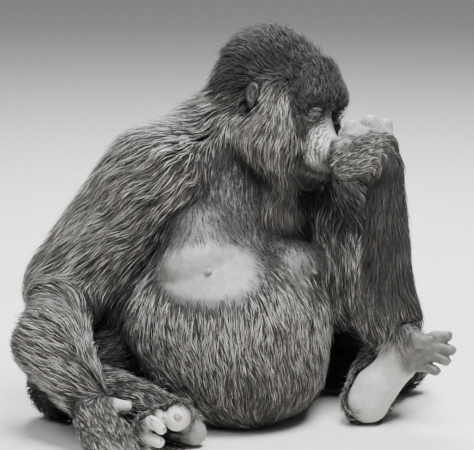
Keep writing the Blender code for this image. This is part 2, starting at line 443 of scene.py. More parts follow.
# ---------------------------------------------------------------- anatomy
@dataclass
class Anatomy:
    """The forms of the flesh, under the coat.

    Args:
        floor: height of the floor in the skeleton's own place.
    """

    floor: float

    def body(self) -> Form:
        """Trunk, neck, back of the head, arms and legs."""
        form = Form(blend=0.035, floor=self.floor + BODY_LIFT)
        # pelvis, belly, waist and chest
        form.lobe(PELVIS, (0.165, 0.14, 0.128))
        form.lobe((-0.05, -0.08, 0.2), (0.203, 0.193, 0.172))
        form.lobe((-0.045, -0.12, 0.112), (0.168, 0.168, 0.108))
        form.lobe((-0.02, 0.01, 0.29), (0.186, 0.146, 0.16))
        form.lobe((0.02, 0.03, 0.38), (0.156, 0.134, 0.15))
        # shoulders, back and flanks
        girdle = [(-0.12, 0.05, 0.47), (0.02, 0.09, 0.48), (0.16, 0.01, 0.43)]
        form.limb(girdle, [0.088, 0.106, 0.068])
        form.limb([(-0.135, 0.06, 0.49), (-0.01, 0.088, 0.54)], [0.078, 0.088])
        form.limb([(0.055, 0.075, 0.55), (0.17, 0.01, 0.445)], [0.086, 0.066])
        form.lobe((-0.03, 0.12, 0.27), (0.155, 0.1, 0.21))
        form.lobe((-0.168, 0.065, 0.232), (0.104, 0.104, 0.102))
        form.lobe((0.09, 0.04, 0.24), (0.092, 0.09, 0.095))
        # breasts and armpits
        form.lobe((-0.118, -0.111, 0.337), (0.092, 0.062, 0.065), 0.011)
        form.lobe((0.076, -0.118, 0.314), (0.062, 0.057, 0.052), 0.018)
        form.lobe((0.18, -0.122, 0.232), (0.032, 0.04, 0.042), 0.03)
        form.lobe((-0.104, -0.068, 0.398), (0.07, 0.048, 0.056), 0.04)
        form.lobe((-0.235, 0.075, 0.205), (0.044, 0.042, 0.044), 0.04)
        form.lobe((0.155, -0.095, 0.28), (0.041, 0.047, 0.047), 0.03)
        for side in Side:
            form.limb([SHOULDER[side], ELBOW[side]], UPPER_ARM[side], 0.03)
            form.limb([HIP[side], KNEE[side]], [0.088, 0.062], 0.03)
            form.limb([KNEE[side], ANKLE[side]], [0.056, 0.033], 0.03)
        form.limb([ELBOW[Side.RIGHT], FOREARM_BEND, WRIST[Side.RIGHT]], [0.048, 0.06, 0.036], 0.03)
        form.limb([ELBOW[Side.LEFT], WRIST[Side.LEFT]], [0.046, 0.029], 0.02)
        form.limb([NECK, NECK_TOP], [0.104, 0.086], 0.04)
        # skull, nape, cheeks and jaw
        form.axes = HEAD
        form.lobe((0, -0.008, 0.03), (0.078, 0.105, 0.088))
        form.lobe((0, -0.05, 0.048), (0.056, 0.068, 0.072))
        form.lobe((0, -0.075, 0.000), (0.072, 0.06, 0.075))
        form.pair((0.056, 0.04, -0.045), (0.036, 0.044, 0.075))
        form.lobe((0, 0.025, -0.11), (0.07, 0.066, 0.07))
        form.limb([(0.05, 0.056, -0.085), (0.032, 0.092, -0.18)], [0.044, 0.02], 0.03)
        return form

    def nipple(self, near: tuple) -> Form:
        """A nipple on its areola, on the body's surface near a point."""
        body = self.body()
        spot = np.array([near])
        for _ in range(4):
            spot = spot - slope(body.distance, spot) * body.distance(spot)[:, None]
        out = slope(body.distance, spot)[0]
        form = Form(blend=0.005)
        form.lobe(tuple(spot[0] - 0.004 * out), (0.012, 0.0065, 0.011))
        form.limb([tuple(spot[0]), tuple(spot[0] + 0.008 * out)], [0.0052, 0.0042])
        return form

    def face(self) -> Form:
        """Brow, eye sockets, lids, nose and muzzle."""
        form = Form(axes=HEAD, blend=0.014)
        form.lobe((0, 0.03, 0.01), (0.066, 0.072, 0.066))
        form.lobe((0, 0.06, -0.06), (0.056, 0.06, 0.06), 0.03)
        form.lobe((0, 0.071, 0.052), (0.06, 0.053, 0.05), 0.03)
        brow = [(-0.058, 0.104, 0.03), (0, 0.122, 0.036), (0.054, 0.104, 0.028)]
        form.limb(brow, [0.017, 0.0175, 0.015], 0.03)
        form.pair((0.04, 0.099, -0.02), (0.032, 0.026, 0.032), 0.03)
        form.lobe((0, 0.11, -0.072), (0.047, 0.058, 0.05), 0.03)
        form.limb([(0, 0.118, 0.012), (0, 0.126, -0.012), (0, 0.152, -0.042)], [0.008, 0.009, 0.013], 0.016)
        # eye sockets, and round lids
        form.pair((0.0385, 0.143, 0.000), (0.018, 0.013, 0.012), 0.01, True)
        form.pair((EYE_X, EYE_Y + EYE_OUT, EYE_Z), (0.0148, 0.0144, 0.0135), 0.006)
        form.pair((EYE_X, 0.128, 0.0125), (0.017, 0.008, 0.0035), 0.005)
        form.pair((EYE_X + 0.001, 0.126, -0.014), (0.0165, 0.0075, 0.0035), 0.005)
        # nose, lips and chin
        form.lobe((0, 0.168, -0.052), (0.014, 0.013, 0.013), 0.01)
        form.pair((0.021, 0.16, -0.065), (0.02, 0.02, 0.019), 0.006)
        form.lobe((0, 0.14, -0.1), (0.043, 0.036, 0.022), 0.012)
        form.lobe((0, 0.132, -0.124), (0.036, 0.03, 0.014), 0.003)
        form.lobe((0, 0.112, -0.128), (0.04, 0.044, 0.028), 0.012)
        form.pair((0.012, 0.183, -0.07), (0.006, 0.01, 0.006), 0.004, True)
        # openings of the lids, the near one narrower
        form.lobe((EYE_X, 0.1395, -0.0025), (0.013, 0.009, 0.0014), 0.0015, True)
        form.lobe((-EYE_X, 0.1385, -0.001), (0.012, 0.009, 0.0045), 0.0015, True)
        return form

    def ear(self, side: Side) -> Form:
        """A small round ear, with its rim and hollow."""
        form = Form(axes=HEAD, blend=0.006)
        x = 0.086 if side is Side.RIGHT else -0.086
        out = 0.014 if side is Side.RIGHT else -0.014
        form.limb([(x * 0.8, 0.004, 0.0), (x, 0.0, 0.0)], [0.014, 0.012])
        form.lobe((x + out * 0.3, -0.005, 0.004), (0.009, 0.017, 0.023))
        form.lobe((x + out * 0.3, 0.000, -0.018), (0.007, 0.009, 0.011))
        form.lobe((x + out, 0.000, 0.004), (0.009, 0.0115, 0.0165), 0.003, True)
        form.limb([(x + out * 0.4, -0.006, 0.012), (x + out * 0.5, -0.002, -0.004)], [0.003, 0.0032], 0.004)
        return form

    def left_hand(self) -> Form:
        """The raised fist, with its back to the front and its knuckles on the muzzle."""
        form = Form(blend=0.01)
        wrist = np.array(WRIST[Side.LEFT])
        for knuckle, radius in (
            ((0.171, -0.204, 0.577), 0.019),
            ((0.153, -0.21, 0.555), 0.0185),
            ((0.14, -0.217, 0.531), 0.0175),
        ):
            form.limb([wrist, knuckle], [0.029, radius])
        rays = (
            ((0.218, -0.19, 0.584), (0.18, -0.181, 0.612), [0.027, 0.021, 0.0165]),
            ((0.25, -0.17, 0.586), (0.228, -0.167, 0.617), [0.026, 0.018, 0.0165]),
            ((0.266, -0.178, 0.575), (0.266, -0.163, 0.609), [0.024, 0.014, 0.012]),
        )
        for _, knuckle, _ in rays:
            middle = np.array(knuckle) + (-0.008, 0.019, -0.016)
            tip = np.array(knuckle) + (-0.004, 0.004, -0.04)
            form.limb([knuckle, middle, tip], [0.013, 0.0115, 0.01], 0.004)
        face_side = [(0.14, -0.196, 0.549), (0.151, -0.193, 0.577), (0.178, -0.192, 0.59)]
        form.limb(face_side, [0.02] * 3, 0.014)
        for back, knuckle, radii in rays:
            form.limb([wrist, back, knuckle], radii, 0.006)
        return form

    def right_hand(self) -> Form:
        """The right hand, with its fingers on the floor."""
        form = Form(blend=0.008, floor=self.floor + FOOT_LIFT)
        wrist = WRIST[Side.RIGHT]
        for knuckle in (
            (-0.368, -0.284, 0.058),
            (-0.39, -0.3, 0.054),
            (-0.411, -0.308, 0.05),
            (-0.43, -0.306, 0.045),
        ):
            tip = np.array(knuckle) + (0.006, -0.048, -0.034)
            form.limb([wrist, knuckle, tip], [0.03, 0.0165, 0.014], 0.006)
        form.limb([wrist, (-0.369, -0.253, 0.103), (-0.342, -0.259, 0.099)], [0.024, 0.0125, 0.0105])
        return form

    def left_foot(self) -> Form:
        """The left foot, on its heel, with its sole to the front and its great toe on top."""
        form = Form(blend=0.01, floor=self.floor + FOOT_LIFT)
        form.limb([(0.186, -0.262, 0.052), (0.199, -0.267, 0.08)], [0.046, 0.043])
        inner = [(0.199, -0.267, 0.085), (0.23, -0.282, 0.138), (0.246, -0.312, 0.183)]
        form.limb(inner, [0.036, 0.027, 0.024])
        outer = [(0.212, -0.27, 0.08), (0.247, -0.294, 0.129), (0.262, -0.308, 0.16)]
        form.limb(outer, [0.036, 0.028, 0.022])
        form.lobe((0.248, -0.323, 0.204), (0.024, 0.022, 0.021), 0.006)
        great_toe = [(0.242, -0.33, 0.193), (0.253, -0.35, 0.198), (0.267, -0.361, 0.195)]
        form.limb(great_toe, [0.018, 0.017, 0.0145], 0.004)
        form.lobe((0.229, -0.31, 0.168), (0.012, 0.012, 0.011), 0.006)
        toes = (
            ((0.272, -0.306, 0.174), (0.308, -0.326, 0.191), (0.325, -0.342, 0.196), 0.014),
            ((0.27, -0.308, 0.16), (0.312, -0.331, 0.174), (0.33, -0.351, 0.168), 0.0135),
            ((0.263, -0.303, 0.145), (0.305, -0.328, 0.154), (0.321, -0.347, 0.146), 0.013),
            ((0.252, -0.296, 0.13), (0.288, -0.316, 0.131), (0.304, -0.335, 0.123), 0.0125),
        )
        self.toes(form, toes, 0.15)
        return form

    def right_foot(self) -> Form:
        """The right foot, pointing forward, with its great toe bent and the others curled."""
        form = Form(blend=0.01, floor=self.floor + FOOT_LIFT)
        form.lobe((-0.262, -0.222, 0.056), (0.048, 0.055, 0.04))
        form.limb([(-0.255, -0.215, 0.05), (-0.207, -0.28, 0.034)], [0.034, 0.026])
        great_toe = [(-0.235, -0.27, 0.06), (-0.249, -0.304, 0.08), (-0.262, -0.322, 0.078)]
        form.limb(great_toe, [0.026, 0.0235, 0.021], 0.006)
        toes = (
            ((-0.262, -0.272, 0.072), (-0.288, -0.292, 0.084), (-0.286, -0.312, 0.08), 0.011),
            ((-0.292, -0.266, 0.056), (-0.321, -0.3, 0.068), (-0.315, -0.322, 0.08), 0.0125),
            ((-0.315, -0.322, 0.08), (-0.308, -0.333, 0.079), (-0.301, -0.343, 0.07), 0.012),
            ((-0.295, -0.258, 0.044), (-0.328, -0.298, 0.048), (-0.305, -0.34, 0.043), 0.013),
            ((-0.3, -0.252, 0.03), (-0.336, -0.296, 0.021), (-0.319, -0.334, 0.015), 0.0125),
        )
        self.toes(form, toes, 0.1)
        return form

    def toes(self, form: Form, rows: tuple, taper: float) -> None:
        """Add toes to a foot.

        Args:
            form: the foot.
            rows: root, bend, tip and radius of each toe.
            taper: how much stouter the root is and thinner the tip, as a share.
        """
        for *points, radius in rows:
            form.limb(points, [radius * (1 + taper), radius, radius * (1 - taper)], 0.004)


# ---------------------------------------------------------------- bare skin
@dataclass(frozen=True)
class Patch:
    """A place on the body with a soft edge.

    Args:
        centre: its middle, in the axes.
        radii: its half widths.
        axes: the axes of its part.
        soft: width of the edge, as a share of the radii.
        tone: how pale the skin is there.
        bare: share of the coat that is missing there.
    """

    centre: tuple
    radii: tuple
    axes: Axes = BODY
    soft: float = 0.3
    tone: float = 0.7
    bare: float = 1.0

    def share(self, points: np.ndarray) -> np.ndarray:
        """1 in the middle of the patch, falling to 0 over its edge."""
        away = np.linalg.norm((self.axes.inward(points) - self.centre) / self.radii, axis=1)
        return 1.0 - ramp(away, 1.0 - self.soft, 1.0 + self.soft)


def both(centre: tuple, radii: tuple, soft: float = 0.3, tone: float = 0.7) -> tuple:
    """The same patch on the right and on the left of the head."""
    return tuple(Patch((sign * centre[0], *centre[1:]), radii, HEAD, soft, tone) for sign in (1, -1))


NOSE_FURROWS = both((0.042, 0.138, -0.056), (0.036, 0.046, 0.056))
SMOOTH_NOSE = both((0.014, 0.172, -0.062), (0.022, 0.022, 0.02))
EYE_FURROWS = both((0.0375, 0.134, -0.008), (0.029, 0.026, 0.026))
KNUCKLES = (
    Patch((0.18, -0.182, 0.616), (0.036, 0.04, 0.026), BODY, 0.2, 0.68),
    Patch((0.236, -0.168, 0.616), (0.034, 0.04, 0.024), BODY, 0.2, 0.68),
    Patch((0.268, -0.158, 0.606), (0.018, 0.04, 0.03), BODY, 0.2, 0.68),
)

BARE = (
    # chest and breasts; the first patch darkens the upper chest's skin, painted shade under the beard and jaw
    Patch((0.03, -0.12, 0.42), (0.15, 0.12, 0.12), BODY, 0.4, 0.08, 0.1),
    Patch((-0.125, -0.13, 0.38), (0.105, 0.105, 0.08), BODY, 0.5, 0.22, 0.7),
    Patch((-0.126, -0.14, 0.332), (0.116, 0.14, 0.066), BODY, 0.28, 0.64),
    Patch((0.078, -0.165, 0.312), (0.062, 0.07, 0.052), BODY, 0.45, 0.46, 0.85),
    # muzzle, side of the nose, lips, eyes and ears
    Patch((0.01, 0.158, -0.05), (0.052, 0.06, 0.066), HEAD, 0.12, 0.57),
    Patch((0.03, 0.16, -0.045), (0.03, 0.04, 0.04), HEAD, 0.3, 0.76),
    Patch((0, 0.15, -0.112), (0.05, 0.06, 0.022), HEAD, 0.35, 0.34, 0.7),
    Patch((0.0375, 0.138, 0.0), (0.024, 0.022, 0.019), HEAD, 0.25, 0.24),
    Patch((-0.0375, 0.138, 0.0), (0.024, 0.022, 0.019), HEAD, 0.25, 0.18),
    *both((0.094, 0.002, 0.004), (0.026, 0.03, 0.04), 0.25, 0.07),
    *KNUCKLES,
    # left foot and its toes
    Patch((0.205, -0.32, 0.085), (0.11, 0.08, 0.11), BODY, 0.15, 0.8),
    Patch((0.293, -0.35, 0.165), (0.08, 0.065, 0.072), BODY, 0.18, 0.5),
    # side of the fist, right toes and sole, right thumb and fingers
    Patch((0.145, -0.2, 0.588), (0.02, 0.034, 0.02), BODY, 0.5, 0.55, 0.8),
    Patch((-0.27, -0.345, 0.055), (0.075, 0.07, 0.06), BODY, 0.15, 1.0),
    Patch((-0.205, -0.29, 0.03), (0.04, 0.045, 0.045), BODY, 0.2, 0.62),
    Patch((-0.35, -0.255, 0.098), (0.036, 0.03, 0.022), BODY, 0.3, 0.86),
    Patch((-0.395, -0.362, 0.018), (0.07, 0.045, 0.04), BODY, 0.2, 0.55),
)


COVERED_TONE = 0.14


def spread(patches: tuple, points: np.ndarray) -> np.ndarray:
    """How much any of the patches covers each point."""
    total = np.zeros(len(points))
    for patch in patches:
        total = np.maximum(total, patch.share(points))
    return total


def bareness(points: np.ndarray) -> np.ndarray:
    """1 where the skin is bare, 0 where the coat is full."""
    total = np.zeros(len(points))
    for patch in BARE:
        total = np.maximum(total, patch.bare * patch.share(points))
    return total


# ---------------------------------------------------------------- finishes
class Graph:
    """A material's nodes, and short ways to add and join them."""

    def __init__(self, name: str) -> None:
        """Make a material with nodes.

        Args:
            name: name of the material.
        """
        self.material = bpy.data.materials.new(name)
        self.material.use_nodes = True
        self.nodes = self.material.node_tree.nodes
        self.links = self.material.node_tree.links
        self.shader = self.nodes["Principled BSDF"]

    def add(self, kind: str, **settings) -> bpy.types.Node:
        """Add a node and set its properties."""
        node = self.nodes.new("ShaderNode" + kind)
        for key, value in settings.items():
            setattr(node, key, value)
        return node

    def join(self, source: bpy.types.NodeSocket, target: bpy.types.NodeSocket) -> None:
        """Link an output socket to an input socket."""
        self.links.new(source, target)

    def noise(self, scale: float, detail: float = 3.0) -> bpy.types.Node:
        """A noise in Object coordinates."""
        node = self.add("TexNoise")
        node.inputs["Scale"].default_value = scale
        node.inputs["Detail"].default_value = detail
        self.join(self.add("TexCoord").outputs["Object"], node.inputs["Vector"])
        return node

    def value(self, name: str) -> bpy.types.NodeSocket:
        """The output of a number stored on the points."""
        return self.add("Attribute", attribute_name=name).outputs["Fac"]

    def maths(self, operation: str, *sources: bpy.types.NodeSocket | float) -> bpy.types.NodeSocket:
        """The result of a Math node for two sockets or numbers."""
        node = self.add("Math", operation=operation)
        for socket, source in zip(node.inputs, sources):
            if isinstance(source, (int, float)):
                socket.default_value = source
            else:
                self.join(source, socket)
        return node.outputs[0]

    def colours(self, factor: bpy.types.NodeSocket, stops: tuple) -> bpy.types.NodeSocket:
        """A colour ramp, with (place, colour) stops."""
        node = self.add("ValToRGB")
        ramp_stops = node.color_ramp.elements
        while len(ramp_stops) < len(stops):
            ramp_stops.new(0.5)
        for stop, (place, colour) in zip(ramp_stops, stops):
            stop.position = place
            stop.color = (*colour, 1.0)
        self.join(factor, node.inputs["Fac"])
        return node.outputs["Color"]


@dataclass(frozen=True)
class Furrows:
    """Furrows pressed into the skin, round an axis or across a direction.

    Args:
        name: name of the numbers on the points that tell where they show.
        patches: where they show.
        centre: a point of the axis, in the axes.
        way: direction of the axis, or across the furrows, in the axes.
        apart: distance from one furrow to the next.
        rings: whether they run round the axis.
        axes: the axes of their part.
        bend: how crooked they are.
        press: how deep they are.
        oval: width of the rings over their height.
        smooth: where they are left out.
    """

    name: str
    patches: tuple
    centre: tuple
    way: tuple
    apart: float
    rings: bool = True
    axes: Axes = HEAD
    bend: float = 4.0
    press: float = 1.0
    oval: float = 1.0
    smooth: tuple = ()

    def mask(self, points: np.ndarray) -> np.ndarray:
        """How much the furrows show at points, from 0 to 1."""
        return spread(self.patches, points) * (1.0 - spread(self.smooth, points))

    def draw(self, graph: Graph, shift: np.ndarray) -> bpy.types.NodeSocket:
        """The depth of the furrows, from 0 to 1.

        Args:
            graph: the material's nodes.
            shift: from the skeleton's own place to the frame.

        Returns:
            The output socket.
        """
        place = graph.add("Mapping", vector_type="TEXTURE")
        place.inputs["Location"].default_value = Vector(self.axes.outward(self.centre) + shift)
        turn = Vector(self.axes.swing(self.way)).to_track_quat("Z" if self.rings else "X", "Y")
        place.inputs["Rotation"].default_value = turn.to_euler()
        place.inputs["Scale"].default_value = (self.oval, 1.0, 1.0)
        graph.join(graph.add("TexCoord").outputs["Object"], place.inputs["Vector"])
        wave = graph.add("TexWave", wave_type="RINGS" if self.rings else "BANDS")
        wave.rings_direction = "Z"
        wave.bands_direction = "X"
        wave.inputs["Scale"].default_value = 2.0 * math.pi / (20.0 * self.apart)
        wave.inputs["Distortion"].default_value = self.bend
        wave.inputs["Detail"].default_value = 3.0
        wave.inputs["Detail Scale"].default_value = 2.0
        graph.join(place.outputs["Vector"], wave.inputs["Vector"])
        low = graph.maths("SUBTRACT", 1.0, wave.outputs["Fac"])
        deep = graph.maths("MULTIPLY", graph.maths("POWER", low, 4.0), self.press)
        return graph.maths("MULTIPLY", deep, graph.value(self.name))


NOSE_TIP = (0.0, 0.185, -0.063)
EYE_STYLE = {"bend": 3.0, "press": 0.7, "oval": 1.8}
FURROWS = (
    Furrows("nose_near", NOSE_FURROWS[:1], NOSE_TIP, (0.75, 0.66, 0.0), 0.0088, bend=8.0, smooth=SMOOTH_NOSE),
    Furrows("nose_far", NOSE_FURROWS[1:], NOSE_TIP, (-0.75, 0.66, 0.0), 0.0088, bend=8.0, smooth=SMOOTH_NOSE),
    Furrows("eye_near", EYE_FURROWS[:1], (0.0375, 0.122, -0.001), (0.35, 0.94, 0.0), 0.0046, **EYE_STYLE),
    Furrows("eye_far", EYE_FURROWS[1:], (-0.0375, 0.122, -0.001), (-0.35, 0.94, 0.0), 0.0046, **EYE_STYLE),
    Furrows("knuckles", KNUCKLES, (0.2, -0.18, 0.6), (-0.79, 0.19, 0.58), 0.0065, False, BODY, 9.0, 0.35),
)


@dataclass(frozen=True)
class SkinFinish:
    """Charcoal skin, paler where it is bare.

    Args:
        dark: its colour at tone 0.
        mid: its colour at tone 0.5.
        pale: its colour at tone 1.
        roughness: its roughness.
        specular: strength of its reflections.
        mottling: how much its tone varies.
        shade: how much painted shade darkens the skin's colour in a furrow.
        relief: height of the bump.
    """

    dark: tuple = (0.016, 0.015, 0.014)
    mid: tuple = (0.085, 0.082, 0.079)
    pale: tuple = (0.53, 0.52, 0.5)
    roughness: float = 0.48
    specular: float = 0.38
    mottling: float = 0.25
    shade: float = 0.55
    relief: float = 0.0022

    def material(self, shift: np.ndarray) -> bpy.types.Material:
        """The finish as a material that reads the points' tone.

        Args:
            shift: from the skeleton's own place to the frame.

        Returns:
            The material.
        """
        graph = Graph("skin")
        depth = 0.0
        for furrows in FURROWS:
            depth = graph.maths("ADD", depth, furrows.draw(graph, shift))
        mottle = graph.maths("SUBTRACT", graph.noise(70.0).outputs["Fac"], 0.5)
        tone = graph.maths("ADD", graph.value("tone"), graph.maths("MULTIPLY", mottle, self.mottling))
        # painted shade: the skin's colour is darkened in the furrows, besides their bump
        light = graph.maths("SUBTRACT", 1.0, graph.maths("MULTIPLY", depth, self.shade))
        tone = graph.maths("MULTIPLY", tone, light)
        colour = graph.colours(tone, ((0.0, self.dark), (0.5, self.mid), (1.0, self.pale)))
        graph.join(colour, graph.shader.inputs["Base Color"])
        graph.shader.inputs["Roughness"].default_value = self.roughness
        graph.shader.inputs["Specular IOR Level"].default_value = self.specular
        grain = graph.maths("MULTIPLY", graph.noise(330.0, 4.0).outputs["Fac"], 0.6)
        bump = graph.add("Bump")
        bump.inputs["Strength"].default_value = 0.8
        bump.inputs["Distance"].default_value = self.relief
        graph.join(graph.maths("SUBTRACT", grain, depth), bump.inputs["Height"])
        graph.join(bump.outputs["Normal"], graph.shader.inputs["Normal"])
        return graph.material


@dataclass(frozen=True)
class CoatFinish:
    """Black-brown hair with paler tips and a soft sheen.

    Args:
        root: its colour at the root.
        tip: its colour at the tip of a dark tuft.
        pale: its colour at the tip of the palest.
        roughness: its roughness.
        specular: strength of its reflections.
    """

    root: tuple = (0.0035, 0.0032, 0.003)
    tip: tuple = (0.095, 0.091, 0.087)
    pale: tuple = (0.6, 0.59, 0.57)
    roughness: float = 0.5
    specular: float = 0.16

    def material(self) -> bpy.types.Material:
        """The finish as a material that reads how far along the tuft and how pale it is."""
        graph = Graph("coat")
        shade = graph.maths("MULTIPLY", graph.value("along"), graph.value("tone"))
        colour = graph.colours(shade, ((0.0, self.root), (0.5, self.tip), (1.0, self.pale)))
        graph.join(colour, graph.shader.inputs["Base Color"])
        graph.shader.inputs["Roughness"].default_value = self.roughness
        graph.shader.inputs["Specular IOR Level"].default_value = self.specular
        return graph.material


@dataclass(frozen=True)
class PlainFinish:
    """One even colour.

    Args:
        name: name of the material.
        colour: its colour.
        roughness: its roughness.
        gloss: strength of a clear layer on top.
    """

    name: str
    colour: tuple
    roughness: float
    gloss: float = 0.0

    def material(self) -> bpy.types.Material:
        """The finish as a material."""
        graph = Graph(self.name)
        mottle = graph.noise(40.0).outputs["Fac"]
        pale = tuple(min(1.0, c * 1.15) for c in self.colour)
        colour = graph.colours(mottle, ((0.3, self.colour), (0.7, pale)))
        graph.join(colour, graph.shader.inputs["Base Color"])
        graph.shader.inputs["Roughness"].default_value = self.roughness
        graph.shader.inputs["Coat Weight"].default_value = self.gloss
        return graph.material


# ---------------------------------------------------------------- skin
@dataclass
class Skin:
    """The one skin of the body.

    Args:
        anatomy: the forms of the flesh.
        shift: from the skeleton's own place to the frame.
        grain: size of the quads on the body.
        fine: the same on hands and feet.
        finest: the same on the face.
        forms: the forms of the skin so far.
    """

    anatomy: Anatomy
    shift: np.ndarray
    grain: float = 0.007
    fine: float = 0.0026
    finest: float = 0.0018
    forms: list = field(default_factory=list)

    def plan(self) -> list:
        """The forms with the boxes that hold them and their grains."""
        made = self.anatomy
        rows = [
            (made.body(), (-0.52, -0.34, -0.02), (0.46, 0.28, 0.8), self.grain),
            (made.face(), *self.around(HEAD.outward((0, 0.09, -0.04)), 0.16), self.finest),
        ]
        for side, x in ((Side.RIGHT, 0.095), (Side.LEFT, -0.095)):
            rows.append((made.ear(side), *self.around(HEAD.outward((x, 0, 0)), 0.05), self.finest))
        for near in ((-0.131, -0.172, 0.329), (0.1, -0.17, 0.312)):
            rows.append((made.nipple(near), *self.around(np.array(near), 0.03), self.finest))
        rows += [
            (made.left_hand(), (0.1, -0.27, 0.46), (0.3, -0.1, 0.66), self.fine),
            (made.right_hand(), (-0.46, -0.4, -0.01), (-0.28, -0.15, 0.16), self.fine),
            (made.left_foot(), (0.12, -0.41, -0.01), (0.38, -0.19, 0.24), self.fine),
            (made.right_foot(), (-0.36, -0.4, -0.01), (-0.18, -0.17, 0.14), self.fine),
        ]
        return rows

    def around(self, middle: np.ndarray, reach: float) -> tuple:
        """Lowest and highest corners of a cube round a point."""
        return tuple(middle - reach), tuple(middle + reach)

    def distance(self, points: np.ndarray) -> np.ndarray:
        """Distance of points from the whole skin."""
        total = self.forms[0].distance(points)
        for form in self.forms[1:]:
            total = np.minimum(total, form.distance(points))
        return total

    def build(self) -> bpy.types.Object:
        """Make the skin as one mesh.

        Returns:
            The skin, in place of the nodes of flesh.
        """
        shells = []
        for form, low, high, grain in self.plan():
            self.forms.append(form)
            points, quads = Shell(form, low, high, grain).build()
            shells.append(add_object("shell", points + self.shift, quads))
            LOG.info("shell of %d quads", len(quads))
        skin = shells[0]
        skin.name = "skin"
        for shell in shells[1:]:
            join = skin.modifiers.new("join", "BOOLEAN")
            join.operation = "UNION"
            join.solver = "MANIFOLD"
            join.object = shell
        seen = skin.evaluated_get(bpy.context.evaluated_depsgraph_get())
        skin.data = bpy.data.meshes.new_from_object(seen)
        skin.modifiers.clear()
        for shell in shells[1:]:
            bpy.data.objects.remove(shell, do_unlink=True)
        skin.data.shade_smooth()
        LOG.info("skin of %d triangles", sum(len(p.vertices) - 2 for p in skin.data.polygons))
        points = points_of(skin.data) - self.shift
        add_values(skin.data, "tone", self.tones(points))
        for furrows in FURROWS:
            add_values(skin.data, furrows.name, furrows.mask(points))
        skin.data.materials.clear()
        skin.data.materials.append(SkinFinish().material(self.shift))
        return skin

    def tones(self, points: np.ndarray) -> np.ndarray:
        """How pale the skin is: 0 dark, 1 pale."""
        total = np.full(len(points), COVERED_TONE)
        for patch in BARE:
            share = patch.share(points)
            total = total * (1.0 - share) + patch.tone * share
        return total


# ---------------------------------------------------------------- coat
@dataclass(frozen=True)
class Lie:
    """How the coat lies round one bone.

    Args:
        name: the piece of coat that it belongs to.
        start: start of the bone, in the axes.
        end: end of the bone.
        girth: radius of the flesh round the bone.
        flow: direction of the hair, in the axes.
        length: length of the hair.
        depth: height of the tips over the skin.
        spacing: distance between tufts.
        width: width of a tuft at its root.
        tone: how pale the tips are.
        spread: how much the hair also runs away from the bone.
        axes: the axes of its part.
    """

    name: str
    start: tuple
    end: tuple
    girth: float
    flow: tuple
    length: float
    depth: float
    spacing: float = 0.0045
    width: float = 0.0028
    tone: float = 0.6
    spread: float = 0.0
    axes: Axes = BODY

    def away(self, points: np.ndarray) -> tuple:
        """Distances of points from the bone, and directions away from it.

        Args:
            points: the points.

        Returns:
            The distances and the directions.
        """
        start = self.axes.outward(self.start)
        run = self.axes.outward(self.end) - start
        off = points - start
        part = np.clip(off @ run / max(run.dot(run), SMALL), 0.0, 1.0)
        off = off - part[:, None] * run
        gap = np.linalg.norm(off, axis=1)
        return gap, off / np.maximum(gap, 1e-6)[:, None]

    def weight(self, gap: np.ndarray) -> np.ndarray:
        """How much this bone rules at a distance; thin parts rule over stout ones."""
        return (0.1 / self.girth) ** 4 / (np.power(gap / self.girth, 8) + 0.02)


